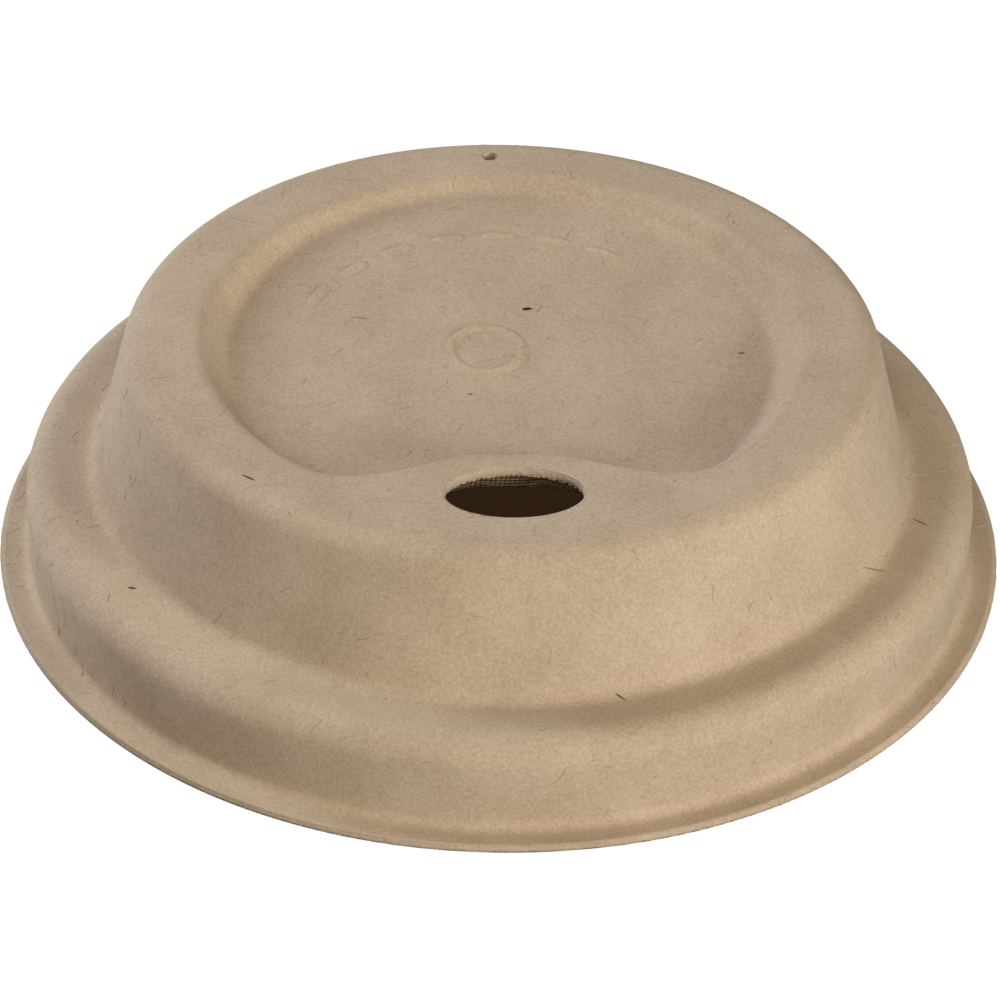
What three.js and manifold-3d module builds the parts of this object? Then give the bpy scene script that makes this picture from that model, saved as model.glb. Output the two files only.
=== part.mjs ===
// Moulded-fibre sip lid for a takeaway hot cup, pressed as one thin shell.
// Millimetres, +Z up. It rests on its lip at z = 0, centred on the Z axis, with the sip hole towards -Y.

import * as THREE from 'three';
import { LoftGeometry } from 'three/addons/geometries/LoftGeometry.js';
import { mergeVertices } from 'three/addons/utils/BufferGeometryUtils.js';
import Module from 'manifold-3d';

const degrees = THREE.MathUtils.degToRad;

// Shell
const lidHeight = 23.8;
const wallThickness = 0.95;
const lipThickness = 0.6;

// Lip and skirt: the skirt leans in towards its foot, so that it snaps under the cup's rolled rim
const lipRadius = 48;
const skirtFootRadius = 45.0;
const skirtTopRadius = 45.3;
const skirtFootFillet = 1.0;

// Shoulder and ledge over the cup's rim
const ledgeHeight = 9.9;
const shoulderFillet = 3.6;

// Raised dome
const domeFootRadius = 38.7;
const domeDraft = degrees(13.7);
const domeFootFillet = 1.7;
const domeEdgeFillet = 2.4;

// Round recess in the dome's top, with a floor that falls towards the sip hole
const plateauWidth = 6.91;
const recessBackDepth = 1.5;
const recessFloorFall = degrees(4);
const recessWallSlope = degrees(55);
const recessFillet = 1.6;

// Sip hole, and the bump that carries it into the recess
const sipHoleWidth = 12.5;
const sipHoleLength = 7.5;
const sipHoleInset = 9.66;
const sipHoleLand = 2.8;
const bumpWallSlope = degrees(70);
const bumpRunout = degrees(29);

// Vent opposite the sip hole
const ventDiameter = 1.2;
const ventInset = 3.41;

// Facets
const columns = 72;
const filletSteps = 4;
const holeSides = 40;

const domeTopRadius = domeFootRadius - (lidHeight - ledgeHeight) * Math.tan(domeDraft);
const recessRadius = domeTopRadius - plateauWidth;
const sipHoleCentre = domeTopRadius - sipHoleInset;
const ventCentre = domeTopRadius - ventInset;
const frontAzimuth = -Math.PI / 2;
const sipHalfAngle = Math.atan2(sipHoleWidth / 2, sipHoleCentre);
const bumpRadius = sipHoleCentre - sipHoleLength / 2 - sipHoleLand;

// Share of the bump at an azimuth: 1 beside the sip hole, 0 where the recess is round again.
function bumpShare(azimuth) {
  const fromFront = THREE.MathUtils.euclideanModulo(azimuth - frontAzimuth + Math.PI, 2 * Math.PI) - Math.PI;
  return 1 - THREE.MathUtils.smoothstep(Math.abs(fromFront), 0.6 * sipHalfAngle, sipHalfAngle + bumpRunout);
}

// Height of the recess floor, a plane that is highest at the back.
function floorHeight(y) {
  return lidHeight - recessBackDepth - (recessRadius - y) * Math.tan(recessFloorFall);
}

// Corners of the outer face's section at an azimuth, from the lid's axis to the edge of its lip.
function sectionCorners(azimuth) {
  const share = bumpShare(azimuth);
  const edgeRadius = THREE.MathUtils.lerp(recessRadius, bumpRadius, share);
  const wallSlope = THREE.MathUtils.lerp(recessWallSlope, bumpWallSlope, share);
  const depth = lidHeight - floorHeight(edgeRadius * Math.sin(azimuth));
  const footRadius = edgeRadius - depth / Math.tan(wallSlope);
  const footHeight = floorHeight(footRadius * Math.sin(azimuth));
  return [
    { place: new THREE.Vector2(0, floorHeight(0)), fillet: 0 },
    { place: new THREE.Vector2(footRadius, footHeight), fillet: recessFillet },
    { place: new THREE.Vector2(edgeRadius, lidHeight), fillet: recessFillet },
    { place: new THREE.Vector2(domeTopRadius, lidHeight), fillet: domeEdgeFillet },
    { place: new THREE.Vector2(domeFootRadius, ledgeHeight), fillet: domeFootFillet },
    { place: new THREE.Vector2(skirtTopRadius, ledgeHeight), fillet: shoulderFillet },
    { place: new THREE.Vector2(skirtFootRadius, lipThickness), fillet: skirtFootFillet },
    { place: new THREE.Vector2(lipRadius, lipThickness), fillet: 0 },
  ];
}

// Stations of the section with each corner rounded by an arc: a place and the angle of its outward normal.
// They start at the foot of the recess, because its floor is flat.
function sectionStations(azimuth) {
  const corners = sectionCorners(azimuth);
  const normalAngle = (from, to) => to.place.clone().sub(from.place).angle() + Math.PI / 2;
  const spoke = (angle, length) => new THREE.Vector2(Math.cos(angle), Math.sin(angle)).multiplyScalar(length);
  const stations = [];
  for (let i = 1; i < corners.length - 1; i += 1) {
    const before = normalAngle(corners[i - 1], corners[i]);
    const after = normalAngle(corners[i], corners[i + 1]);
    const turn = THREE.MathUtils.euclideanModulo(after - before + Math.PI, 2 * Math.PI) - Math.PI;
    const signedFillet = Math.sign(turn) * corners[i].fillet;
    const centre = spoke(before + turn / 2, signedFillet / Math.cos(turn / 2)).add(corners[i].place);
    for (let step = 0; step <= filletSteps; step += 1) {
      const angle = before + (turn * step) / filletSteps;
      stations.push({ place: spoke(angle, -signedFillet).add(centre), angle });
    }
  }
  const [beforeLast, last] = corners.slice(-2);
  stations.push({ place: last.place, angle: normalAngle(beforeLast, last) });
  return stations;
}

// Station of the outer face in space.
function outerPoint(azimuth, index) {
  const { place } = sectionStations(azimuth)[index];
  return new THREE.Vector3(place.x * Math.cos(azimuth), place.x * Math.sin(azimuth), place.y);
}

// Outward normal there, square to the section and to the way round the lid.
function outwardNormal(azimuth, index) {
  const { angle } = sectionStations(azimuth)[index];
  const turnStep = 0.001;
  const roundLid = outerPoint(azimuth + turnStep, index).sub(outerPoint(azimuth - turnStep, index));
  const alongSection = new THREE.Vector3(Math.cos(azimuth), Math.sin(azimuth), 0)
    .multiplyScalar(Math.sin(angle))
    .setZ(-Math.cos(angle));
  return alongSection.cross(roundLid).normalize();
}

// Station of the inner face: the outer one moved in by the wall, which thins down to the lip.
function innerPoint(azimuth, index) {
  const outer = outerPoint(azimuth, index);
  const aboveLip = THREE.MathUtils.smoothstep(outer.z, lipThickness, lipThickness + skirtFootFillet);
  const thickness = THREE.MathUtils.lerp(lipThickness, wallThickness, aboveLip);
  return outer.addScaledVector(outwardNormal(azimuth, index), -thickness);
}

// The pressed shell: rings from the underside's middle out to the lip, and back over the top to the middle.
function makeShell() {
  const azimuths = Array.from({ length: columns }, (_, i) => frontAzimuth + (2 * Math.PI * i) / columns);
  const indices = sectionStations(frontAzimuth).map((_, index) => index);
  const ring = (pointAt, index) => azimuths.map((azimuth) => pointAt(azimuth, index));
  const innerRings = indices.map((index) => ring(innerPoint, index));
  const outerRings = indices.map((index) => ring(outerPoint, index));
  const floorMiddle = new THREE.Vector3(0, 0, floorHeight(0));
  const undersideMiddle = floorMiddle.clone().setZ(floorHeight(0) - wallThickness / Math.cos(recessFloorFall));
  return new LoftGeometry([
    azimuths.map(() => undersideMiddle),
    ...innerRings,
    ...outerRings.reverse(),
    azimuths.map(() => floorMiddle),
  ]);
}

// An upright oval pin through the dome's top, from above it to the height given.
function makePin(width, length, y, bottom) {
  const outline = new THREE.Shape().absellipse(0, y, width / 2, length / 2, 0, 2 * Math.PI);
  const pin = new THREE.ExtrudeGeometry(outline, {
    depth: lidHeight + wallThickness - bottom,
    curveSegments: holeSides,
    bevelEnabled: false,
  });
  return pin.translate(0, 0, bottom);
}

const wasm = await Module();
wasm.setup();

// A closed solid from a geometry, without the facets that a loft folds to nothing on the axis.
function toSolid(geometry) {
  const bare = new THREE.BufferGeometry().copy(geometry);
  bare.deleteAttribute('normal');
  bare.deleteAttribute('uv');
  const merged = mergeVertices(bare);
  const corners = merged.getIndex().array;
  const facets = [];
  for (let i = 0; i < corners.length; i += 3) {
    const facet = corners.slice(i, i + 3);
    if (new Set(facet).size === 3) {
      facets.push(...facet);
    }
  }
  return new wasm.Manifold(new wasm.Mesh({
    numProp: 3,
    vertProperties: merged.getAttribute('position').array,
    triVerts: new Uint32Array(facets),
  }));
}

function toGeometry(solid) {
  const { vertProperties, triVerts } = solid.getMesh();
  const geometry = new THREE.BufferGeometry();
  geometry.setAttribute('position', new THREE.BufferAttribute(vertProperties, 3));
  geometry.setIndex(new THREE.BufferAttribute(triVerts, 1));
  geometry.computeVertexNormals();
  return geometry;
}

const pinBottom = lidHeight - 2 * wallThickness;
const sipPin = makePin(sipHoleWidth, sipHoleLength, -sipHoleCentre, pinBottom);
const ventPin = makePin(ventDiameter, ventDiameter, ventCentre, pinBottom);
const lidSolid = toSolid(makeShell()).subtract(toSolid(sipPin)).subtract(toSolid(ventPin));

const fibre = new THREE.MeshStandardMaterial({ color: 0xb09d88, roughness: 0.95, metalness: 0 });
const lid = new THREE.Mesh(toGeometry(lidSolid), fibre);
lid.name = 'lid';

const part = new THREE.Group();
part.add(lid);

export default part;
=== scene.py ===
"""Pressed-fibre sip lid for a takeaway hot cup, dressed for its photograph.

The shell is one fine mesh of the same form as the solid lid, with a rounded rim and torn-looking cut edges.
Short plant fibres and specks lie in its surface. Lengths are in metres unless a name says otherwise.
"""

import logging
import math
from dataclasses import dataclass, field
from enum import Enum

import bpy
import numpy as np
from mathutils import Matrix, Vector

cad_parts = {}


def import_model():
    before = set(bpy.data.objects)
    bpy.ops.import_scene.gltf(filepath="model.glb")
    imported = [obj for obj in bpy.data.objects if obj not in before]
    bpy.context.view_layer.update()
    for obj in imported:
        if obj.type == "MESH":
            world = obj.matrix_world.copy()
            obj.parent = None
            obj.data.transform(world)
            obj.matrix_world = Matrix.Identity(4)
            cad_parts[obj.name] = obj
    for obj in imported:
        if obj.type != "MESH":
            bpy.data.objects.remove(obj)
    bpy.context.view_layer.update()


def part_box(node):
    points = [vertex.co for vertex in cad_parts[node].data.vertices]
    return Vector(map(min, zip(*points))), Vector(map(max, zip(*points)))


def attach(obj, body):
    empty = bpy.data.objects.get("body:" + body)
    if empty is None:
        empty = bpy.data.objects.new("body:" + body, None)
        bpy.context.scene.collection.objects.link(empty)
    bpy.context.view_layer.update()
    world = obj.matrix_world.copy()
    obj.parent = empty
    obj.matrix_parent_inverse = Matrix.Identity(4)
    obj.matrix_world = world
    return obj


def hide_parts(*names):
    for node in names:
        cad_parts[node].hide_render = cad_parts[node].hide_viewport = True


MM = 0.001
Tree = bpy.types.NodeTree
Socket = bpy.types.NodeSocket
BODY = "root"
NODE = "lid"
LOG = logging.getLogger("lid")


def linear(code: str) -> tuple[float, float, float, float]:
    """Turns an sRGB hex colour into linear light.

    Args:
        code: Six hex digits, such as "b09d88".

    Returns:
        Red, green, blue and an alpha of 1.
    """
    shares = [int(code[i:i + 2], 16) / 255 for i in (0, 2, 4)]
    light = [s / 12.92 if s <= 0.04045 else ((s + 0.055) / 1.055) ** 2.4 for s in shares]
    return (light[0], light[1], light[2], 1.0)


def smoothstep(value: np.ndarray, low: float, high: float) -> np.ndarray:
    """Returns 0 below low, 1 above high and a smooth rise between them."""
    share = np.clip((value - low) / (high - low), 0, 1)
    return share * share * (3 - 2 * share)


@dataclass
class LidForm:
    """Sizes and section of the lid, the same as the solid's. Azimuths are in radians about +Z, from +X."""

    height: float
    lip_radius: float
    wall: float = 0.95 * MM
    lip_thickness: float = 0.6 * MM
    skirt_foot_radius: float = 45.0 * MM
    skirt_top_radius: float = 45.3 * MM
    skirt_foot_fillet: float = 1.0 * MM
    ledge_height: float = 9.9 * MM
    shoulder_fillet: float = 2.8 * MM
    dome_foot_radius: float = 38.7 * MM
    dome_draft: float = math.radians(13.7)
    dome_foot_fillet: float = 1.4 * MM
    dome_edge_fillet: float = 2.4 * MM
    plateau_width: float = 6.91 * MM
    recess_back_depth: float = 1.5 * MM
    recess_floor_fall: float = math.radians(4)
    recess_wall_slope: float = math.radians(55)
    recess_fillet: float = 1.6 * MM
    sip_width: float = 12.5 * MM
    sip_length: float = 7.5 * MM
    sip_inset: float = 9.66 * MM
    sip_land: float = 2.8 * MM
    bump_wall_slope: float = math.radians(70)
    bump_runout: float = math.radians(29)
    vent_diameter: float = 1.2 * MM
    vent_inset: float = 3.41 * MM

    @property
    def dome_top_radius(self) -> float:
        """Returns the radius at which the dome's side would meet its flat top."""
        return self.dome_foot_radius - (self.height - self.ledge_height) * math.tan(self.dome_draft)

    @property
    def recess_radius(self) -> float:
        """Returns the radius of the round recess."""
        return self.dome_top_radius - self.plateau_width

    @property
    def sip_centre(self) -> float:
        """Returns how far the sip hole's centre is from the axis."""
        return self.dome_top_radius - self.sip_inset

    @property
    def vent_centre(self) -> float:
        """Returns how far the vent's centre is from the axis."""
        return self.dome_top_radius - self.vent_inset

    def bump_share(self, azimuth: np.ndarray) -> np.ndarray:
        """Tells how far the recess wall bulges inwards.

        Args:
            azimuth: The azimuths.

        Returns:
            1 beside the sip hole and 0 where the recess is round, for each azimuth.
        """
        from_front = (azimuth + math.pi / 2 + math.pi) % (2 * math.pi) - math.pi
        half_angle = math.atan2(self.sip_width / 2, self.sip_centre)
        return 1 - smoothstep(np.abs(from_front), 0.6 * half_angle, half_angle + self.bump_runout)

    def floor_height(self, y: np.ndarray) -> np.ndarray:
        """Returns the height of the recess floor, a plane that falls towards the sip hole."""
        return self.height - self.recess_back_depth - (self.recess_radius - y) * math.tan(self.recess_floor_fall)

    def corners(self, azimuth: np.ndarray) -> list[tuple[np.ndarray, np.ndarray, float]]:
        """Gives the corners of the outer section, from the axis to the lip's edge.

        Args:
            azimuth: The azimuths to cut at.

        Returns:
            For each corner its radii, its heights and its fillet.
        """
        share = self.bump_share(azimuth)
        bump_radius = self.sip_centre - self.sip_length / 2 - self.sip_land
        edge = self.recess_radius + (bump_radius - self.recess_radius) * share
        slope = self.recess_wall_slope + (self.bump_wall_slope - self.recess_wall_slope) * share
        depth = self.height - self.floor_height(edge * np.sin(azimuth))
        foot = edge - depth / np.tan(slope)
        level = np.ones_like(azimuth)
        return [
            (0 * level, self.floor_height(0 * level), 0.0),
            (foot, self.floor_height(foot * np.sin(azimuth)), self.recess_fillet),
            (edge, self.height * level, self.recess_fillet),
            (self.dome_top_radius * level, self.height * level, self.dome_edge_fillet),
            (self.dome_foot_radius * level, self.ledge_height * level, self.dome_foot_fillet),
            (self.skirt_top_radius * level, self.ledge_height * level, self.shoulder_fillet),
            (self.skirt_foot_radius * level, self.lip_thickness * level, self.skirt_foot_fillet),
            (self.lip_radius * level, self.lip_thickness * level, 0.0),
        ]

    def section(
        self, azimuth: np.ndarray, straight_steps: list[int], fillet_steps: list[int]
    ) -> tuple[np.ndarray, np.ndarray, np.ndarray]:
        """Cuts the outer face at each azimuth and rounds the section's corners.

        Args:
            azimuth: The azimuths to cut at.
            straight_steps: How many steps each straight stretch gets, from the axis out.
            fillet_steps: How many steps each fillet gets.

        Returns:
            Radii, heights and the angles of the outward normals, each with a row for each station.
        """
        corners = self.corners(azimuth)
        radii: list[np.ndarray] = []
        heights: list[np.ndarray] = []
        angles: list[np.ndarray] = []
        start = (corners[0][0], corners[0][1])
        for i in range(1, len(corners)):
            before = np.arctan2(corners[i][1] - corners[i - 1][1], corners[i][0] - corners[i - 1][0])
            before = before + math.pi / 2
            if i == len(corners) - 1:
                turn, fillet, bend = 0 * before, 0.0, (corners[i][0], corners[i][1])
            else:
                after = np.arctan2(corners[i + 1][1] - corners[i][1], corners[i + 1][0] - corners[i][0])
                turn = (after + math.pi / 2 - before + math.pi) % (2 * math.pi) - math.pi
                fillet = np.sign(turn) * corners[i][2]
                reach = fillet / np.cos(turn / 2)
                bend = (
                    corners[i][0] + reach * np.cos(before + turn / 2),
                    corners[i][1] + reach * np.sin(before + turn / 2),
                )
            arc = [
                (bend[0] - fillet * np.cos(before + turn * s), bend[1] - fillet * np.sin(before + turn * s), turn * s)
                for s in np.linspace(0, 1, fillet_steps[i - 1] + 1)
            ] if i < len(corners) - 1 else [(bend[0], bend[1], 0 * before)]
            for s in np.linspace(0, 1, straight_steps[i - 1] + 1)[1:-1]:
                radii.append(start[0] + (arc[0][0] - start[0]) * s)
                heights.append(start[1] + (arc[0][1] - start[1]) * s)
                angles.append(before)
            for place in arc:
                radii.append(place[0])
                heights.append(place[1])
                angles.append(before + place[2])
            start = (arc[-1][0], arc[-1][1])
        return np.array(radii), np.array(heights), np.array(angles)


def add_node(tree: Tree, kind: str, feeds: dict | None = None, **settings: object) -> bpy.types.Node:
    """Adds a node with its settings, values and links.

    Args:
        tree: The tree that gets the node.
        kind: The node's type.
        feeds: What each input, by name or number, gets: another node's output, or a plain value.
        settings: The node's own properties.

    Returns:
        The new node.
    """
    made = tree.nodes.new(kind)
    for name, value in settings.items():
        setattr(made, name, value)
    for key, value in (feeds or {}).items():
        if isinstance(value, Socket):
            tree.links.new(value, made.inputs[key])
        else:
            made.inputs[key].default_value = value
    return made


class FaceMark(Enum):
    """Names of the numbers, from 0 to 1, that the shell's points carry."""

    UNDERSIDE = "underside"
    CUT = "cut_edge"
    STEEP = "steep_face"


class HairTone(Enum):
    """Names of what the fibres and the stray marks carry: a number from 0 to 1 and a colour."""

    TONE = "tone"
    SHADE = "shade"


def blank_material(name: str) -> tuple[bpy.types.Material, Tree]:
    """Makes a material without any nodes.

    Args:
        name: The material's name.

    Returns:
        The material and its tree.
    """
    material = bpy.data.materials.new(name)
    material.use_nodes = True
    material.node_tree.nodes.clear()
    return material, material.node_tree


def declare(tree: Tree, kinds: dict[str, str]) -> bpy.types.NodeOutputs:
    """Gives a Geometry Nodes tree its inputs and its output.

    Args:
        tree: An empty tree.
        kinds: The type of each input between the geometry and the material, by name.

    Returns:
        The outputs of the tree's input node.
    """
    sockets = {"Geometry": "Geometry", **kinds, "Material": "Material"}
    for name, kind in sockets.items():
        tree.interface.new_socket(name, in_out="INPUT", socket_type="NodeSocket" + kind)
    tree.interface.new_socket("Geometry", in_out="OUTPUT", socket_type="NodeSocketGeometry")
    return add_node(tree, "NodeGroupInput").outputs


def end_tree(tree: Tree, geometry: Socket, material: Socket) -> None:
    """Ends a Geometry Nodes tree with real geometry of one material.

    Args:
        tree: The tree.
        geometry: What the tree has made.
        material: Its material.
    """
    real = add_node(tree, "GeometryNodeRealizeInstances", {0: geometry}).outputs[0]
    done = add_node(tree, "GeometryNodeSetMaterial", {"Geometry": real, "Material": material}).outputs[0]
    add_node(tree, "NodeGroupOutput", {0: done})


@dataclass(frozen=True)
class RaisedPattern:
    """Plain raised decoration on the recess floor: an arc of low dashes and a small ring. Angles in radians."""

    arc_radius: float = 20.6 * MM
    arc_start: float = math.radians(52)
    dash_turn: float = math.radians(14.5)
    dashes: int = 7
    dash_length: float = 3.6 * MM
    dash_stations: int = 15
    ring_place: tuple[float, float] = (-1.35 * MM, 2.5 * MM)
    ring_radius: float = 3.4 * MM
    ring_stations: int = 96
    width: float = 1.4 * MM
    across_points: int = 11
    rise: float = 0.28 * MM
    foot: float = 0.02 * MM
    sink: float = 0.3 * MM

    def solids(self, form: LidForm) -> list[tuple[np.ndarray, list[list[int]]]]:
        """Gives the dashes and the ring as closed solids whose feet lie inside the wall.

        Args:
            form: The lid's form, whose recess floor carries them.

        Returns:
            For each solid its points and its faces.
        """
        made = []
        half = self.dash_length / 2 / self.arc_radius
        for n in range(self.dashes):
            middle = self.arc_start + (n + 0.5) * self.dash_turn
            turn = np.linspace(middle - half, middle + half, self.dash_stations)
            ends = np.minimum(turn - turn[0], turn[-1] - turn) * self.arc_radius
            made.append(self.swept(form, (0.0, 0.0), self.arc_radius, turn, smoothstep(ends, 0, self.width / 2), False))
        turn = np.arange(self.ring_stations) * 2 * math.pi / self.ring_stations
        made.append(self.swept(form, self.ring_place, self.ring_radius, turn, np.ones_like(turn), True))
        return made

    def swept(
        self, form: LidForm, centre: tuple[float, float], radius: float, turn: np.ndarray, share: np.ndarray,
        closed: bool,
    ) -> tuple[np.ndarray, list[list[int]]]:
        """Sweeps a soft low ridge along a round line on the recess floor.

        Args:
            form: The lid's form.
            centre: The line's centre.
            radius: The line's radius.
            turn: The stations' azimuths about the centre.
            share: How much of its full rise the ridge has at each station.
            closed: Whether the last station joins the first.

        Returns:
            The ridge's points and its faces.
        """
        spread = np.linspace(-1, 1, self.across_points)
        lift = (1 + np.cos(math.pi * spread)) / 2
        reach = radius - spread[None, :] * self.width / 2
        x = centre[0] + reach * np.cos(turn)[:, None]
        y = centre[1] + reach * np.sin(turn)[:, None]
        z = form.floor_height(y) - self.foot + (self.rise + self.foot) * lift[None, :] * share[:, None]
        top = np.stack([x, y, z], axis=-1)
        low = top[:, [-1, 0]].copy()
        low[..., 2] = form.floor_height(low[..., 1]) - self.sink
        loops = np.concatenate([top, low], axis=1)
        stations, size, _ = loops.shape
        faces = [
            [a * size + p, b * size + p, b * size + q, a * size + q]
            for a, b in ((n, (n + 1) % stations) for n in range(stations if closed else stations - 1))
            for p, q in ((k, (k + 1) % size) for k in range(size))
        ]
        if not closed:
            faces.append(list(range(size)))
            faces.append([(stations - 1) * size + k for k in reversed(range(size))])
        return loops.reshape(-1, 3), faces


@dataclass(frozen=True)
class PulpFinish:
    """Moulded plant fibre, unbleached, pressed against a fine wire screen: matt, felted, softly mottled."""

    name: str = "unbleached_moulded_fibre"
    body: str = "b0a08c"
    dark: str = "98876f"
    light: str = "c4b6a3"
    # Painted light: a warm, slightly darker tint on the underside stands in for light shining through the thin pulp.
    underside: str = "fff0dc"
    roughness: float = 0.92
    felt_size: float = 0.3 * MM
    clump_size: float = 1.3 * MM
    cloud_size: float = 9.0 * MM
    screen_pitch: float = 0.45 * MM
    felt_relief: float = 0.01
    clump_relief: float = 0.034
    screen_relief: float = 0.05
    screen_painted_shade: float = 0.16
    base_share: float = 0.165
    felt_share: float = 0.33
    clump_share: float = 0.1
    cloud_share: float = 0.24
    tone_stops: tuple[float, float, float] = (0.3, 0.5, 0.7)
    wire_share: float = 0.6
    specular: float = 0.25

    def build(self) -> bpy.types.Material:
        """Builds the material.

        Returns:
            The material.
        """
        # Felted pulp has short fibres in all directions, so its grain is a fine noise without direction.
        material, tree = blank_material(self.name)
        place = add_node(tree, "ShaderNodeTexCoord").outputs["Object"]
        under = add_node(
            tree, "ShaderNodeAttribute", attribute_type="GEOMETRY", attribute_name=FaceMark.UNDERSIDE.value
        ).outputs["Fac"]
        felt, clump, cloud = (
            add_node(tree, "ShaderNodeTexNoise", {"Vector": place, "Scale": 1 / size, **rest}).outputs["Fac"]
            for size, rest in (
                (self.felt_size, {"Detail": 1.5, "Roughness": 0.5}),
                (self.clump_size, {"Detail": 2.5, "Roughness": 0.55, "Distortion": 0.6}),
                (self.cloud_size, {"Detail": 3.0}),
            )
        )
        weave = self.screen_print(tree, place, under)
        # The screen's weave also darkens the colour in its hollows: painted shade. Its relief below is real bump.
        shares = (
            (felt, self.felt_share), (clump, self.clump_share), (cloud, self.cloud_share), (weave, self.screen_painted_shade)
        )
        ramp = add_node(tree, "ShaderNodeValToRGB", {"Fac": self.total(tree, shares, self.base_share)})
        stops = ramp.color_ramp.elements
        stops[0].color, stops[1].color = linear(self.dark), linear(self.light)
        stops[0].position, middle, stops[1].position = self.tone_stops
        stops.new(middle).color = linear(self.body)
        reliefs = ((felt, self.felt_relief), (clump, self.clump_relief), (weave, self.screen_relief))
        relief = self.total(tree, reliefs, 0.0)
        bump = add_node(tree, "ShaderNodeBump", {"Strength": 1.0, "Distance": MM, "Height": relief})
        # The underside's colour is multiplied by the painted warm tint that stands in for light through the pulp.
        toned = add_node(
            tree, "ShaderNodeMix", {0: under, 6: ramp.outputs["Color"], 7: linear(self.underside)},
            data_type="RGBA", blend_type="MULTIPLY",
        ).outputs[2]
        shader = add_node(
            tree, "ShaderNodeBsdfPrincipled",
            {
                "Base Color": toned, "Roughness": self.roughness, "Specular IOR Level": self.specular,
                "Normal": bump.outputs["Normal"],
            },
        )
        add_node(tree, "ShaderNodeOutputMaterial", {"Surface": shader.outputs["BSDF"]})
        return material

    def screen_print(self, tree: Tree, place: Socket, under: Socket) -> Socket:
        """Adds the print of the forming screen's wires, which only the underside has, used as relief and as painted
        shade in its hollows.

        Args:
            tree: The material's tree.
            place: Object coordinates.
            under: 1 on the underside.

        Returns:
            A number about -1 in the screen's meshes and 1 on its wires, and 0 on the outer face.
        """
        turns = 2 * math.pi / self.screen_pitch
        wires = add_node(tree, "ShaderNodeVectorMath", {0: place, 1: (turns, turns, turns)}, operation="MULTIPLY")
        waves = add_node(tree, "ShaderNodeVectorMath", {0: wires.outputs[0]}, operation="SINE").outputs[0]
        steep = add_node(
            tree, "ShaderNodeAttribute", attribute_type="GEOMETRY", attribute_name=FaceMark.STEEP.value
        ).outputs["Fac"]
        shares = add_node(tree, "ShaderNodeCombineXYZ", {0: self.wire_share, 1: self.wire_share, 2: steep}).outputs[0]
        weave = add_node(tree, "ShaderNodeVectorMath", {0: waves, 1: shares}, operation="DOT_PRODUCT").outputs["Value"]
        return add_node(tree, "ShaderNodeMath", {0: weave, 1: under}, operation="MULTIPLY").outputs[0]

    def total(self, tree: Tree, shares: tuple[tuple[Socket, float], ...], start: float) -> Socket:
        """Adds up patterns.

        Args:
            tree: The material's tree.
            shares: Each pattern with its share.
            start: What the sum starts from.

        Returns:
            The sum.
        """
        result: Socket | float = start
        for wave, share in shares:
            feeds = {0: wave, 1: share, 2: result}
            result = add_node(tree, "ShaderNodeMath", feeds, operation="MULTIPLY_ADD").outputs[0]
        return result


@dataclass(frozen=True)
class Opening:
    """An oval hole through the lid's top, its centre on the Y axis."""

    centre_y: float
    half_width: float
    half_length: float

    def reach(self, places: np.ndarray) -> np.ndarray:
        """Returns 1 on the hole's outline, less inside and more outside, for points with x and y last."""
        return np.hypot(places[..., 0] / self.half_width, (places[..., 1] - self.centre_y) / self.half_length)

    def snapped(self, places: np.ndarray, margin: float) -> np.ndarray:
        """Moves points onto the outline, or onto one a margin wider.

        Args:
            places: Points to move, x, y and z.
            margin: How much wider the outline is.

        Returns:
            The moved points, at their old heights.
        """
        moved = places.copy()
        x = places[..., 0] / (self.half_width + margin)
        y = (places[..., 1] - self.centre_y) / (self.half_length + margin)
        size = np.hypot(x, y)
        moved[..., 0] = x / size * (self.half_width + margin)
        moved[..., 1] = self.centre_y + y / size * (self.half_length + margin)
        return moved


@dataclass
class MeshParts:
    """Points, faces and marks of a mesh in the making."""

    points: list[np.ndarray] = field(default_factory=list)
    faces: list[list[int]] = field(default_factory=list)
    marks: dict[FaceMark, list[np.ndarray]] = field(default_factory=lambda: {mark: [] for mark in FaceMark})
    count: int = 0

    def add(self, points: np.ndarray, given: dict[FaceMark, float | np.ndarray] | None = None) -> int:
        """Adds points.

        Args:
            points: The points, a row for each.
            given: The value of each mark on them, where it isn't 0.

        Returns:
            The number of the first of them.
        """
        first = self.count
        self.points.append(points)
        for mark, values in self.marks.items():
            values.append(np.zeros(len(points)) + (given or {}).get(mark, 0.0))
        self.count += len(points)
        return first

    def mesh(self, name: str) -> bpy.types.Mesh:
        """Makes the mesh.

        Args:
            name: The mesh's name.

        Returns:
            The mesh with its marks.
        """
        mesh = bpy.data.meshes.new(name)
        mesh.from_pydata(np.concatenate(self.points).tolist(), [], self.faces)
        for mark, values in self.marks.items():
            mesh.attributes.new(mark.value, "FLOAT", "POINT").data.foreach_set("value", np.concatenate(values))
        return mesh


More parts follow.
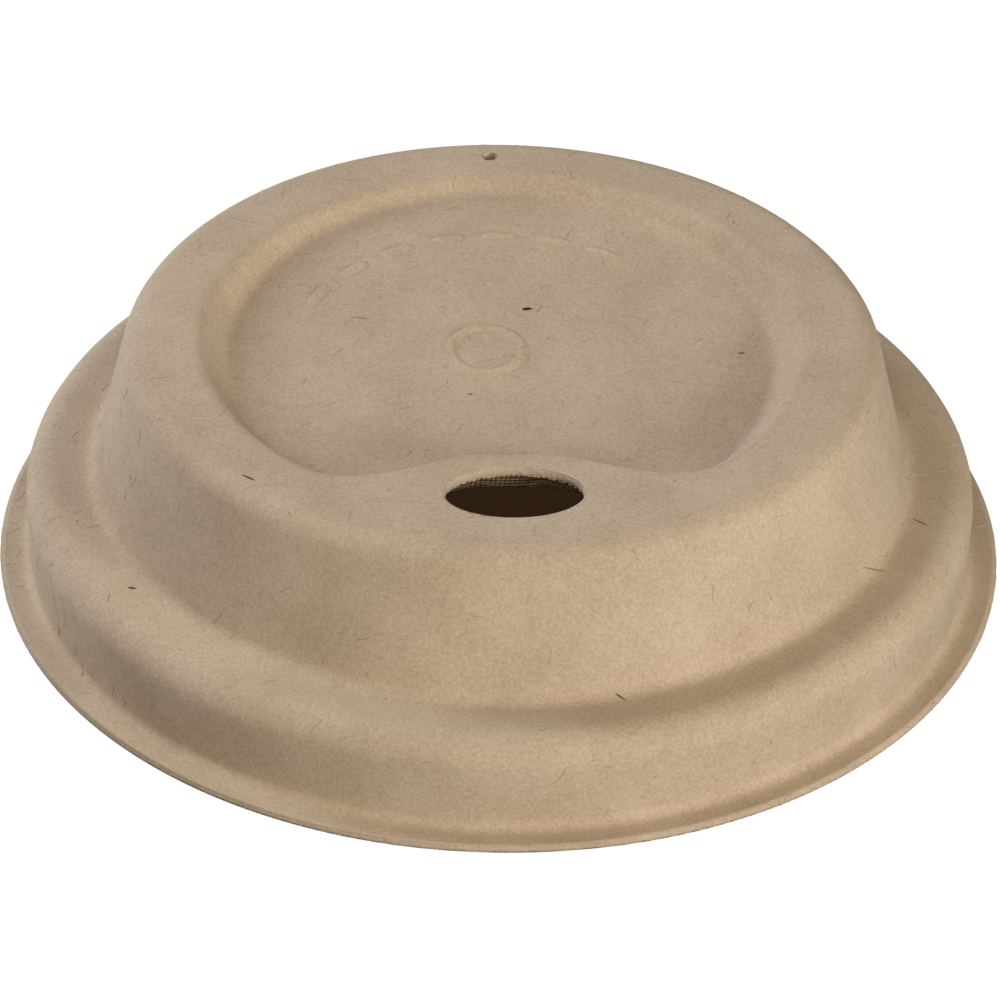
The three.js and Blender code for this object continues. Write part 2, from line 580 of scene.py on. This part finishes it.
@dataclass
class PressedShell:
    """The lid's one piece of pressed fibre: fine outer and inner faces, a soft rim and rough cut edges."""

    form: LidForm
    material: bpy.types.Material
    column_step: float = math.radians(1.0)
    sip_column_step: float = math.radians(0.5)
    vent_column_step: float = math.radians(0.25)
    sip_span: float = math.radians(17)
    vent_span: float = math.radians(1.75)
    tangent_turn: float = 0.001
    steep_from: tuple[float, float] = (0.2, 0.6)
    straight_steps: tuple[int, ...] = (14, 4, 38, 8, 4, 4, 3)
    fillet_steps: tuple[int, ...] = (5, 5, 6, 5, 7, 5)
    edge_round: float = 0.16 * MM
    edge_rings: int = 6
    edge_start: float = 0.04
    edge_fullness: float = 0.5
    warp: float = 0.08 * MM
    warp_size: float = 30 * MM
    fray: float = 0.22 * MM
    fray_size: float = 0.4 * MM
    pattern: RaisedPattern = RaisedPattern()

    def azimuths(self) -> np.ndarray:
        """Places the columns, closest together at the sip hole and the vent.

        Returns:
            Their azimuths.
        """
        front, back = -math.pi / 2, math.pi / 2
        spans = [
            (front - self.sip_span, front + self.sip_span, self.sip_column_step),
            (front + self.sip_span, back - self.vent_span, self.column_step),
            (back - self.vent_span, back + self.vent_span, self.vent_column_step),
            (back + self.vent_span, front + 2 * math.pi - self.sip_span, self.column_step),
        ]
        return np.concatenate([np.linspace(a, b, round((b - a) / step), endpoint=False) for a, b, step in spans])

    def faces_of_wall(self) -> tuple[np.ndarray, np.ndarray, np.ndarray]:
        """Lofts the outer face and sets the inner face off from it.

        Returns:
            Points of the outer and of the inner face, and how steep the wall is, by station and column.
        """
        azimuth = self.azimuths()
        steps = (list(self.straight_steps), list(self.fillet_steps))
        radius, height, angle = self.form.section(azimuth, *steps)

        def points(turn: float) -> np.ndarray:
            """Returns the outer face's points with every column turned a little."""
            r, z, _ = self.form.section(azimuth + turn, *steps)
            return np.stack([r * np.cos(azimuth + turn), r * np.sin(azimuth + turn), z], axis=-1)

        outer = points(0.0)
        around = points(self.tangent_turn) - points(-self.tangent_turn)
        along = np.stack(
            [np.sin(angle) * np.cos(azimuth), np.sin(angle) * np.sin(azimuth), -np.cos(angle)], axis=-1
        )
        normal = np.cross(along, around)
        normal /= np.linalg.norm(normal, axis=-1, keepdims=True)
        lip = self.form.lip_thickness
        thick = smoothstep(height, lip, lip + self.form.skirt_foot_fillet)
        depth = lip + (self.form.wall - lip) * thick
        return outer, outer - normal * depth[..., None], smoothstep(np.abs(np.cos(angle)), *self.steep_from)

    def build(self) -> bpy.types.Object:
        """Builds the shell.

        Returns:
            The shell, slightly uneven, as a plain mesh object.
        """
        raw = bpy.data.objects.new("pressed_shell_raw", self.parts().mesh("pressed_shell"))
        bpy.context.scene.collection.objects.link(raw)
        tree = bpy.data.node_groups.new("press_uneven", "GeometryNodeTree")
        return baked(raw, tree, self.press_rule(tree), "pressed_shell")

    def parts(self) -> MeshParts:
        """Gathers both faces of the wall, its soft edges and the raised pattern.

        Returns:
            The mesh in the making, before any unevenness.
        """
        form = self.form
        outer, inner, steep = self.faces_of_wall()
        for face in (outer, inner):
            face[-1, :, :2] *= 1 - self.edge_round / form.lip_radius
        rows, columns, _ = outer.shape
        openings = [
            Opening(-form.sip_centre, form.sip_width / 2, form.sip_length / 2),
            Opening(form.vent_centre, form.vent_diameter / 2, form.vent_diameter / 2),
        ]
        quads = self.kept_quads(outer, openings)
        edges = np.concatenate([quads[:, [a, (a + 1) % 4]] for a in range(4)])
        known = {(int(a), int(b)) for a, b in edges}
        rim_start = (rows - 1) * columns
        loose = [(a, b) for a, b in known if (b, a) not in known and a >= columns and max(a, b) < rim_start]
        high, low = outer.reshape(-1, 3), inner.reshape(-1, 3)
        outward: dict[int, np.ndarray] = {}
        for v in sorted({v for edge in loose for v in edge}):
            opening = min(openings, key=lambda o: abs(o.reach(high[v]) - 1))
            high[v] = opening.snapped(high[v], self.edge_round)
            low[v, :2] = high[v, :2]
            outward[v] = opening.snapped(high[v], 0.0) - high[v]
        for v in range(rim_start, rim_start + columns):
            outward[v] = np.array([high[v, 0], high[v, 1], 0]) / np.hypot(high[v, 0], high[v, 1]) * self.edge_round
        parts = MeshParts()
        parts.add(high, {FaceMark.STEEP: steep.ravel()})
        below = parts.add(low, {FaceMark.UNDERSIDE: 1.0, FaceMark.STEEP: steep.ravel()})
        parts.faces += quads.tolist() + (quads[:, ::-1] + below).tolist()
        top = float(form.floor_height(np.zeros(1))[0])
        drop = form.wall / math.cos(form.recess_floor_fall)
        axis = parts.add(np.array([[0, 0, top], [0, 0, top - drop]]), {FaceMark.UNDERSIDE: np.array([0.0, 1.0])})
        for a in range(columns):
            b = (a + 1) % columns
            parts.faces += [[axis, a, b], [axis + 1, below + b, below + a]]
        links = self.edge_chains(parts, high, low, outward)
        steps = range(self.edge_rings + 1)
        for a, b in loose:
            parts.faces += [[links[b][s], links[a][s], links[a][s + 1], links[b][s + 1]] for s in steps]
        for c in range(columns):
            a, b = rim_start + c, rim_start + (c + 1) % columns
            parts.faces += [[links[a][s], links[a][s + 1], links[b][s + 1], links[b][s]] for s in steps]
        for points, faces in self.pattern.solids(form):
            first = parts.add(points)
            parts.faces += [[v + first for v in face] for face in faces]
        return parts

    def kept_quads(self, outer: np.ndarray, openings: list[Opening]) -> np.ndarray:
        """Lists the outer face's quads that lie outside the openings.

        Args:
            outer: The outer face's points, by station and column.
            openings: The openings.

        Returns:
            Four point numbers for each quad.
        """
        rows, columns, _ = outer.shape
        i, j = np.meshgrid(np.arange(rows - 1), np.arange(columns), indexing="ij")
        k = (j + 1) % columns
        middle = (outer[i, j] + outer[i + 1, j] + outer[i + 1, k] + outer[i, k]) / 4
        kept = np.all([opening.reach(middle) > 1 for opening in openings], axis=0)
        quads = np.stack([i * columns + j, (i + 1) * columns + j, (i + 1) * columns + k, i * columns + k], axis=-1)
        return quads[kept]

    def edge_chains(
        self, parts: MeshParts, high: np.ndarray, low: np.ndarray, outward: dict[int, np.ndarray]
    ) -> dict[int, list[int]]:
        """Adds a rounded chain of points from the outer to the inner face at each point of an edge.

        Args:
            parts: The mesh in the making, which gets the chains' points.
            high: The outer face's points, the first that the mesh got.
            low: The inner face's points, the next.
            outward: How far the edge stands out at each of its points.

        Returns:
            For each point of an edge the numbers along its chain, the faces' own points included.
        """
        links: dict[int, list[int]] = {}
        made: list[np.ndarray] = []
        for v, reach in outward.items():
            first = parts.count + len(made)
            for bend in np.linspace(0, math.pi, self.edge_rings):
                share = self.edge_start + (1 - 2 * self.edge_start) * (1 - math.cos(bend)) / 2
                made.append(high[v] + (low[v] - high[v]) * share + reach * math.sin(bend) ** self.edge_fullness)
            links[v] = [v, *range(first, first + self.edge_rings), len(high) + v]
        parts.add(np.array(made), {FaceMark.CUT: 1.0})
        return links

    def press_rule(self, tree: Tree) -> dict[str, object]:
        """Fills the tree that warps the shell a little and frays its cut edges, never outwards of its box.

        Args:
            tree: An empty Geometry Nodes tree.

        Returns:
            The value of each input, by name.
        """
        given = declare(tree, {"Warp": "Vector", "Warp Scale": "Float", "Fray": "Float", "Fray Scale": "Float"})
        place = add_node(tree, "GeometryNodeInputPosition").outputs[0]
        facing = add_node(tree, "GeometryNodeInputNormal").outputs[0]
        wave = add_node(tree, "ShaderNodeTexNoise", {"Vector": place, "Scale": given["Warp Scale"], "Detail": 1.0})
        pull = add_node(tree, "ShaderNodeVectorMath", {0: place, 1: given["Warp"]}, operation="MULTIPLY").outputs[0]
        warped = add_node(
            tree, "ShaderNodeVectorMath", {0: pull, 1: wave.outputs["Color"]}, operation="MULTIPLY"
        ).outputs[0]
        moved = add_node(tree, "GeometryNodeSetPosition", {"Geometry": given["Geometry"], "Offset": warped})
        rough = add_node(
            tree, "ShaderNodeTexNoise", {"Vector": place, "Scale": given["Fray Scale"], "Detail": 2.0}
        ).outputs["Fac"]
        edge = add_node(
            tree, "GeometryNodeInputNamedAttribute", {"Name": FaceMark.CUT.value}, data_type="FLOAT"
        ).outputs["Attribute"]
        share = add_node(tree, "ShaderNodeMath", {0: rough, 1: edge}, operation="MULTIPLY").outputs[0]
        depth = add_node(tree, "ShaderNodeMath", {0: share, 1: given["Fray"]}, operation="MULTIPLY").outputs[0]
        inward = add_node(tree, "ShaderNodeVectorMath", {0: facing, "Scale": depth}, operation="SCALE").outputs[0]
        frayed = add_node(
            tree, "GeometryNodeSetPosition", {"Geometry": moved.outputs[0], "Offset": inward}
        ).outputs[0]
        end_tree(tree, frayed, given["Material"])
        span = (-self.warp / self.form.lip_radius, -self.warp / self.form.lip_radius, -self.warp / self.form.height)
        return {
            "Warp": span, "Warp Scale": 1 / self.warp_size, "Fray": -self.fray, "Fray Scale": 1 / self.fray_size,
            "Material": self.material,
        }


def baked(carrier: bpy.types.Object, tree: Tree, values: dict[str, object], name: str) -> bpy.types.Object:
    """Runs a Geometry Nodes tree on an object and keeps the result as a plain mesh.

    Args:
        carrier: The object that carries the modifier; it is removed.
        tree: The tree.
        values: The value of each of the tree's inputs, by name.
        name: The name of the new object.

    Returns:
        The new object, linked to the scene.
    """
    sockets = {item.name: item.identifier for item in tree.interface.items_tree if item.in_out == "INPUT"}
    modifier = carrier.modifiers.new(name, "NODES")
    modifier.node_group = tree
    for key, value in values.items():
        modifier[sockets[key]] = value
    evaluated = carrier.evaluated_get(bpy.context.evaluated_depsgraph_get())
    mesh = bpy.data.meshes.new_from_object(evaluated)
    mesh.name = name
    mesh.shade_smooth()
    made = bpy.data.objects.new(name, mesh)
    carrier.modifiers.clear()
    bpy.data.objects.remove(carrier)
    bpy.context.scene.collection.objects.link(made)
    return made


@dataclass(frozen=True)
class HairFinish:
    """Single plant fibres and specks caught in the surface, from straw to dark brown, dry and matt."""

    name: str = "loose_plant_fibre"
    dark: str = "8e7963"
    middle: str = "a9957e"
    light: str = "c4b39c"
    middle_place: float = 0.35
    roughness: float = 0.85
    specular: float = 0.25

    def build(self) -> bpy.types.Material:
        """Builds the material, its shade read from each fibre's own number.

        Returns:
            The material.
        """
        # Cellulose fibres are dull and take their colour from what is left of the bark and pith in them.
        material, tree = blank_material(self.name)
        tone = add_node(tree, "ShaderNodeAttribute", attribute_type="GEOMETRY", attribute_name=HairTone.TONE.value)
        ramp = add_node(tree, "ShaderNodeValToRGB", {"Fac": tone.outputs["Fac"]})
        ramp.color_ramp.elements[0].color = linear(self.dark)
        ramp.color_ramp.elements[1].color = linear(self.light)
        ramp.color_ramp.elements.new(self.middle_place).color = linear(self.middle)
        shader = add_node(
            tree, "ShaderNodeBsdfPrincipled",
            {"Base Color": ramp.outputs["Color"], "Roughness": self.roughness, "Specular IOR Level": self.specular},
        )
        add_node(tree, "ShaderNodeOutputMaterial", {"Surface": shader.outputs["BSDF"]})
        return material


@dataclass
class SurfaceFibres:
    """Short fibres that lie in the shell's surface, scattered evenly over both faces."""

    shell: bpy.types.Object
    material: bpy.types.Material
    top: float
    count: int = 3600
    shortest: float = 0.5 * MM
    longest: float = 1.9 * MM
    thickness: float = 0.03 * MM
    curl: float = 0.5 * MM
    curl_size: float = 1.5 * MM
    seed: int = 11
    length_seed: int = 5
    tone_seed: int = 23
    shortness: float = 2.2
    bends: int = 7
    sides: int = 4

    def build(self) -> bpy.types.Object:
        """Scatters the fibres.

        Returns:
            All of them as one mesh object.
        """
        area = sum(face.area for face in self.shell.data.polygons)
        tree = bpy.data.node_groups.new("scatter_fibres", "GeometryNodeTree")
        carrier = bpy.data.objects.new("fibre_carrier", self.shell.data.copy())
        bpy.context.scene.collection.objects.link(carrier)
        self.rule(tree)
        values = {
            "Density": self.count / area, "Shortest": self.shortest, "Longest": self.longest,
            "Thickness": self.thickness, "Curl": self.curl, "Curl Scale": 1 / self.curl_size, "Seed": self.seed,
            "Material": self.material,
        }
        return baked(carrier, tree, values, "surface_fibres")

    def rule(self, tree: Tree) -> None:
        """Fills the tree: points on the faces, a curl of line on each, laid onto the surface and thickened.

        Args:
            tree: An empty Geometry Nodes tree.
        """
        sizes = ("Density", "Shortest", "Longest", "Thickness", "Curl", "Curl Scale")
        given = declare(tree, {**dict.fromkeys(sizes, "Float"), "Seed": "Int"})
        spots = add_node(
            tree, "GeometryNodeDistributePointsOnFaces",
            {"Mesh": given["Geometry"], "Density": given["Density"], "Seed": given["Seed"]},
        ).outputs
        turn, chance, shade = (
            add_node(tree, "FunctionNodeRandomValue", {2: 0.0, 3: most, "Seed": seed}, data_type="FLOAT").outputs[1]
            for most, seed in ((2 * math.pi, given["Seed"]), (1.0, self.length_seed), (1.0, self.tone_seed))
        )
        spin = add_node(tree, "FunctionNodeAxisAngleToRotation", {"Axis": (0.0, 0.0, 1.0), "Angle": turn}).outputs[0]
        aim = add_node(
            tree, "FunctionNodeRotateRotation", {0: spots["Rotation"], 1: spin}, rotation_space="LOCAL"
        ).outputs[0]
        often_short = add_node(tree, "ShaderNodeMath", {0: chance, 1: self.shortness}, operation="POWER").outputs[0]
        length = add_node(
            tree, "ShaderNodeMapRange", {"Value": often_short, 3: given["Shortest"], 4: given["Longest"]}
        ).outputs[0]
        size = add_node(tree, "ShaderNodeCombineXYZ", {0: length, 1: 1.0, 2: 1.0}).outputs[0]
        line = add_node(tree, "GeometryNodeCurvePrimitiveLine", {"Start": (-0.5, 0, 0), "End": (0.5, 0, 0)}).outputs[0]
        strand = add_node(tree, "GeometryNodeResampleCurve", {"Curve": line, "Count": self.bends}).outputs[0]
        strewn = add_node(
            tree, "GeometryNodeInstanceOnPoints",
            {"Points": spots["Points"], "Instance": strand, "Rotation": aim, "Scale": size},
        ).outputs[0]
        toned = add_node(
            tree, "GeometryNodeStoreNamedAttribute",
            {"Geometry": strewn, "Name": HairTone.TONE.value, "Value": shade}, data_type="FLOAT", domain="INSTANCE",
        ).outputs[0]
        loose = add_node(tree, "GeometryNodeRealizeInstances", {0: toned}).outputs[0]
        place = add_node(tree, "GeometryNodeInputPosition").outputs[0]
        swirl = add_node(tree, "ShaderNodeTexNoise", {"Vector": place, "Scale": given["Curl Scale"], "Detail": 1.0})
        centred = add_node(
            tree, "ShaderNodeVectorMath", {0: swirl.outputs["Color"], 1: (0.5, 0.5, 0.5)}, operation="SUBTRACT"
        ).outputs[0]
        bend = add_node(
            tree, "ShaderNodeVectorMath", {0: centred, "Scale": given["Curl"]}, operation="SCALE"
        ).outputs[0]
        curled = add_node(tree, "GeometryNodeSetPosition", {"Geometry": loose, "Offset": bend}).outputs[0]
        nearest = add_node(
            tree, "GeometryNodeProximity", {0: given["Geometry"]}, target_element="FACES"
        ).outputs["Position"]
        laid = add_node(tree, "GeometryNodeSetPosition", {"Geometry": curled, "Position": nearest}).outputs[0]
        profile = add_node(
            tree, "GeometryNodeCurvePrimitiveCircle", {"Resolution": self.sides, "Radius": given["Thickness"]}
        ).outputs[0]
        half = add_node(tree, "GeometryNodeSetCurveRadius", {"Curve": laid, "Radius": 0.5}).outputs[0]
        solid = add_node(
            tree, "GeometryNodeCurveToMesh", {"Curve": half, "Profile Curve": profile, "Fill Caps": True}
        ).outputs[0]
        spot = add_node(tree, "GeometryNodeInputPosition").outputs[0]
        above = add_node(tree, "ShaderNodeVectorMath", {0: spot, 1: (-1.0, -1.0, 0.0)}, operation="MAXIMUM").outputs[0]
        within = add_node(
            tree, "ShaderNodeVectorMath", {0: above, 1: (1.0, 1.0, self.top)}, operation="MINIMUM"
        ).outputs[0]
        flush = add_node(tree, "GeometryNodeSetPosition", {"Geometry": solid, "Position": within}).outputs[0]
        end_tree(tree, flush, given["Material"])


@dataclass(frozen=True)
class StrayMark:
    """One dark speck or stray fibre in the surface. Places in millimetres, from one end to the other."""

    start: tuple[float, float, float]
    end: tuple[float, float, float]
    width: float
    colour: str


@dataclass
class StrayMarks:
    """The few specks and fibres that stand out."""

    material: bpy.types.Material
    marks: tuple[StrayMark, ...] = (
        StrayMark((2.5, 8.8, 20.88), (2.95, 8.85, 20.88), 0.5, "241c14"),
        StrayMark((-35.0, -20.5, 9.88), (-34.6, -20.6, 9.88), 0.35, "5a4633"),
        StrayMark((-24.5, -22.4, 23.75), (-23.4, -23.3, 23.75), 0.28, "5b3a28"),
        StrayMark((38.4, -11.0, 9.89), (39.5, -12.0, 9.89), 0.2, "6b4a32"),
        StrayMark((42.8, -12.4, 7.95), (43.1, -12.6, 7.8), 0.45, "6a6256"),
        StrayMark((32.75, -20.0, 10.9), (35.1, -19.4, 9.88), 0.12, "7a5f45"),
        StrayMark((-2.6, -43.5, 9.24), (-2.3, -43.5, 9.24), 0.3, "a8713f"),
        StrayMark((8.9, -38.0, 10.22), (9.6, -38.5, 9.93), 0.18, "7b5a3e"),
        StrayMark((-14.0, 7.8, 20.83), (-12.4, 7.44, 20.81), 0.16, "85694d"),
        StrayMark((-3.3, -4.2, 19.98), (-3.1, -4.25, 19.98), 0.25, "6b5a46"),
        StrayMark((22.5, 1.6, 20.39), (22.85, 1.7, 20.39), 0.35, "786a58"),
    )
    stations: int = 6
    sides: int = 6
    blunt: float = 0.04
    flatness: float = 0.3

    def build(self) -> bpy.types.Object:
        """Builds the marks as slim closed spindles, half sunk in the surface.

        Returns:
            All of them as one mesh object.
        """
        points: list[tuple[float, float, float]] = []
        faces: list[list[int]] = []
        colours: list[tuple[float, float, float, float]] = []
        for mark in self.marks:
            start, end = Vector(mark.start) * MM, Vector(mark.end) * MM
            way = (end - start).normalized()
            side = way.orthogonal().normalized()
            other = way.cross(side)
            reach = mark.width * MM / 2
            first = len(points)
            for n in range(self.stations + 1):
                share = n / self.stations
                size = reach * math.sin(math.pi * (self.blunt + (1 - 2 * self.blunt) * share)) ** 0.5
                centre = start - way * reach + (end - start + way * 2 * reach) * share
                for k in range(self.sides):
                    turn = 2 * math.pi * k / self.sides
                    spot = centre + (side * math.cos(turn) + other * math.sin(turn)) * size
                    spot.z = centre.z + (spot.z - centre.z) * self.flatness
                    points.append(tuple(spot))
                    colours.append(linear(mark.colour))
            for n in range(self.stations):
                for k in range(self.sides):
                    a, b = first + n * self.sides + k, first + n * self.sides + (k + 1) % self.sides
                    faces.append([a, b, b + self.sides, a + self.sides])
            faces.append([first + k for k in reversed(range(self.sides))])
            faces.append([first + self.stations * self.sides + k for k in range(self.sides)])
        mesh = bpy.data.meshes.new("stray_marks")
        mesh.from_pydata(points, [], faces)
        shades = mesh.attributes.new(HairTone.SHADE.value, "FLOAT_COLOR", "POINT")
        shades.data.foreach_set("color", np.array(colours).ravel())
        mesh.materials.append(self.material)
        mesh.shade_smooth()
        made = bpy.data.objects.new("stray_marks", mesh)
        bpy.context.scene.collection.objects.link(made)
        return made


@dataclass(frozen=True)
class BarkFinish:
    """Bits of bark and dyed fibre left in the pulp: dull, in several browns."""

    name: str = "bark_specks"
    roughness: float = 0.9
    specular: float = 0.2

    def build(self) -> bpy.types.Material:
        """Builds the material, its colour read from each mark's own.

        Returns:
            The material.
        """
        # Bark is dense and matt, so it shows as flat dark spots without any shine.
        material, tree = blank_material(self.name)
        own = add_node(tree, "ShaderNodeAttribute", attribute_type="GEOMETRY", attribute_name=HairTone.SHADE.value)
        shader = add_node(
            tree, "ShaderNodeBsdfPrincipled",
            {"Base Color": own.outputs["Color"], "Roughness": self.roughness, "Specular IOR Level": self.specular},
        )
        add_node(tree, "ShaderNodeOutputMaterial", {"Surface": shader.outputs["BSDF"]})
        return material


@dataclass(frozen=True)
class Lamp:
    """A soft square lamp that aims at the lid. Angles in degrees, distance and size in metres, power in watts."""

    name: str
    azimuth: float
    elevation: float
    distance: float
    size: float
    power: float
    colour: str

    def build(self, aim: Vector) -> None:
        """Adds the lamp.

        Args:
            aim: The point that it aims at.
        """
        light = bpy.data.lights.new(self.name, "AREA")
        light.size = self.size
        light.energy = self.power
        light.color = linear(self.colour)[:3]
        holder = bpy.data.objects.new(self.name, light)
        turn, rise = math.radians(self.azimuth), math.radians(self.elevation)
        way = Vector((math.cos(rise) * math.cos(turn), math.cos(rise) * math.sin(turn), math.sin(rise)))
        holder.location = aim + way * self.distance
        holder.rotation_euler = way.to_track_quat("Z", "Y").to_euler()
        bpy.context.scene.collection.objects.link(holder)


@dataclass
class Studio:
    """Pale floor, soft lamps and the camera."""

    lid_radius: float
    lamps: tuple[Lamp, ...] = (
        Lamp("rear_left_high", 150, 40, 0.7, 0.2, 1.9, "d7e9ff"),
        Lamp("rear_left_low", 150, 22, 0.7, 0.2, 2.1, "fff8ee"),
        Lamp("rear_low", 125, 22, 0.7, 0.2, 1.2, "fff8ee"),
        Lamp("right_front_low", 310, 16, 0.7, 0.2, 3.35, "fffaf4"),
        Lamp("front_fill", 265, 40, 0.7, 0.2, 1.75, "ffecd2"),
        Lamp("right_fill", 320, 40, 0.7, 0.2, 0.95, "ffecd2"),
    )
    aim_height: float = 12 * MM
    floor_reach: float = 2.0
    floor_drop: float = 0.02 * MM
    card_inset: float = 0.5 * MM
    card: tuple[float, float, float, float] = (0.35, 0.35, 0.35, 1)
    # Painted shade: inside the lid a dark brown card and a faint brown glow stand in for its shaded inside.
    inside_shade_card: str = "4a3524"
    inside_shade_glow: str = "2c1e11"
    glow: float = 1.24
    glow_share: float = 0.8
    camera_distance: float = 531.024 * MM
    camera_elevation: float = math.radians(35.656)
    camera_azimuth: float = math.radians(-93)
    camera_roll: float = math.radians(-1.112)
    camera_near: float = 10 * MM
    sensor: float = 36.0
    lens: float = 198.39
    shift: tuple[float, float] = (0.0011, 0.0408)

    def build(self) -> None:
        """Adds everything that stands round the lid."""
        self.add_world()
        self.add_floor()
        self.add_camera()
        for lamp in self.lamps:
            lamp.build(Vector((0, 0, self.aim_height)))

    def add_world(self) -> None:
        """Makes the world white to the camera and dark to the lid, which only the lamps light."""
        world = bpy.data.worlds.new("studio_surround")
        bpy.context.scene.world = world
        world.use_nodes = True
        tree = world.node_tree
        tree.nodes.clear()
        shader = add_node(tree, "ShaderNodeBackground", {"Color": (1, 1, 1, 1), "Strength": self.seen(tree)})
        add_node(tree, "ShaderNodeOutputWorld", {"Surface": shader.outputs[0]})

    def seen(self, tree: Tree) -> Socket:
        """Finds the rays that show the background: from the camera, or mirrored or bent on the way.

        Args:
            tree: The tree of a material or of the world.

        Returns:
            1 for those rays and 0 for all others.
        """
        path = add_node(tree, "ShaderNodeLightPath").outputs
        share = path["Is Camera Ray"]
        for ray in ("Is Glossy Ray", "Is Transmission Ray"):
            share = add_node(tree, "ShaderNodeMath", {0: share, 1: path[ray]}, operation="MAXIMUM").outputs[0]
        return share

    def add_floor(self) -> None:
        """Adds the floor: white to the camera but for the lid's shadow, and dark brown inside the lid, painted shade
        for the lid's shaded inside.
        """
        size = self.floor_reach
        mesh = bpy.data.meshes.new("studio_floor")
        corners = [(x, y, -self.floor_drop) for x, y in ((-size, -size), (size, -size), (size, size), (-size, size))]
        mesh.from_pydata(corners, [], [(0, 1, 2, 3)])
        floor = bpy.data.objects.new("studio_floor", mesh)
        bpy.context.scene.collection.objects.link(floor)
        # A plain board: grey card outside the lid, and lit up where the camera sees it; inside the lid a brown card and
        # a faint brown glow, painted shade and dim painted light for the lid's dark inside seen through its holes.
        material, tree = blank_material("pale_studio_floor")
        place = add_node(tree, "ShaderNodeTexCoord").outputs["Object"]
        away = add_node(tree, "ShaderNodeVectorMath", {0: place}, operation="LENGTH").outputs["Value"]
        outside = add_node(
            tree, "ShaderNodeMath", {0: away, 1: self.lid_radius - self.card_inset}, operation="GREATER_THAN"
        ).outputs[0]
        tint, light = (
            add_node(tree, "ShaderNodeMix", {0: outside, 6: linear(inner), 7: outer}, data_type="RGBA").outputs[2]
            for inner, outer in ((self.inside_shade_card, self.card), (self.inside_shade_glow, (1, 1, 1, 1)))
        )
        card = add_node(tree, "ShaderNodeBsdfDiffuse", {"Color": tint}).outputs[0]
        glow = add_node(tree, "ShaderNodeEmission", {"Color": light, "Strength": self.glow}).outputs[0]
        feeds = {0: self.seen(tree), 1: self.glow_share}
        most = add_node(tree, "ShaderNodeMath", feeds, operation="MULTIPLY").outputs[0]
        mixed = add_node(tree, "ShaderNodeMixShader", {0: most, 1: card, 2: glow}).outputs[0]
        add_node(tree, "ShaderNodeOutputMaterial", {"Surface": mixed})
        mesh.materials.append(material)

    def add_camera(self) -> None:
        """Adds the camera, aimed at the middle of the lid's foot and rolled a little."""
        data = bpy.data.cameras.new("front_camera")
        data.sensor_width = self.sensor
        data.lens = self.lens
        data.shift_x, data.shift_y = self.shift
        data.clip_start = self.camera_near
        camera = bpy.data.objects.new("front_camera", data)
        turn, rise = self.camera_azimuth, self.camera_elevation
        back = Vector((math.cos(rise) * math.cos(turn), math.cos(rise) * math.sin(turn), math.sin(rise)))
        right = Vector((-math.sin(turn), math.cos(turn), 0))
        up = back.cross(right)
        lean = self.camera_roll
        side = right * math.cos(lean) - up * math.sin(lean)
        top = right * math.sin(lean) + up * math.cos(lean)
        matrix = Matrix((side, top, back)).transposed().to_4x4()
        matrix.translation = back * self.camera_distance
        camera.matrix_world = matrix
        bpy.context.scene.collection.objects.link(camera)
        bpy.context.scene.camera = camera


def main() -> None:
    """Builds the lid and the studio, and reports each piece."""
    logging.basicConfig(level=logging.INFO, format="%(message)s")
    bpy.context.scene.view_settings.view_transform = "Standard"
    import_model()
    low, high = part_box(NODE)
    form = LidForm(height=high[2] - low[2], lip_radius=(high[0] - low[0]) / 2)
    pulp = PulpFinish().build()
    hair = HairFinish().build()
    shell = PressedShell(form, pulp).build()
    fibres = SurfaceFibres(shell, hair, form.height).build()
    marks = StrayMarks(BarkFinish().build()).build()
    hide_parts(NODE)
    for piece in (shell, fibres, marks):
        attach(piece, BODY)
        LOG.info("%s: %d points, %d faces", piece.name, len(piece.data.vertices), len(piece.data.polygons))
    Studio(form.lip_radius).build()


if __name__ == "__main__":
    main()
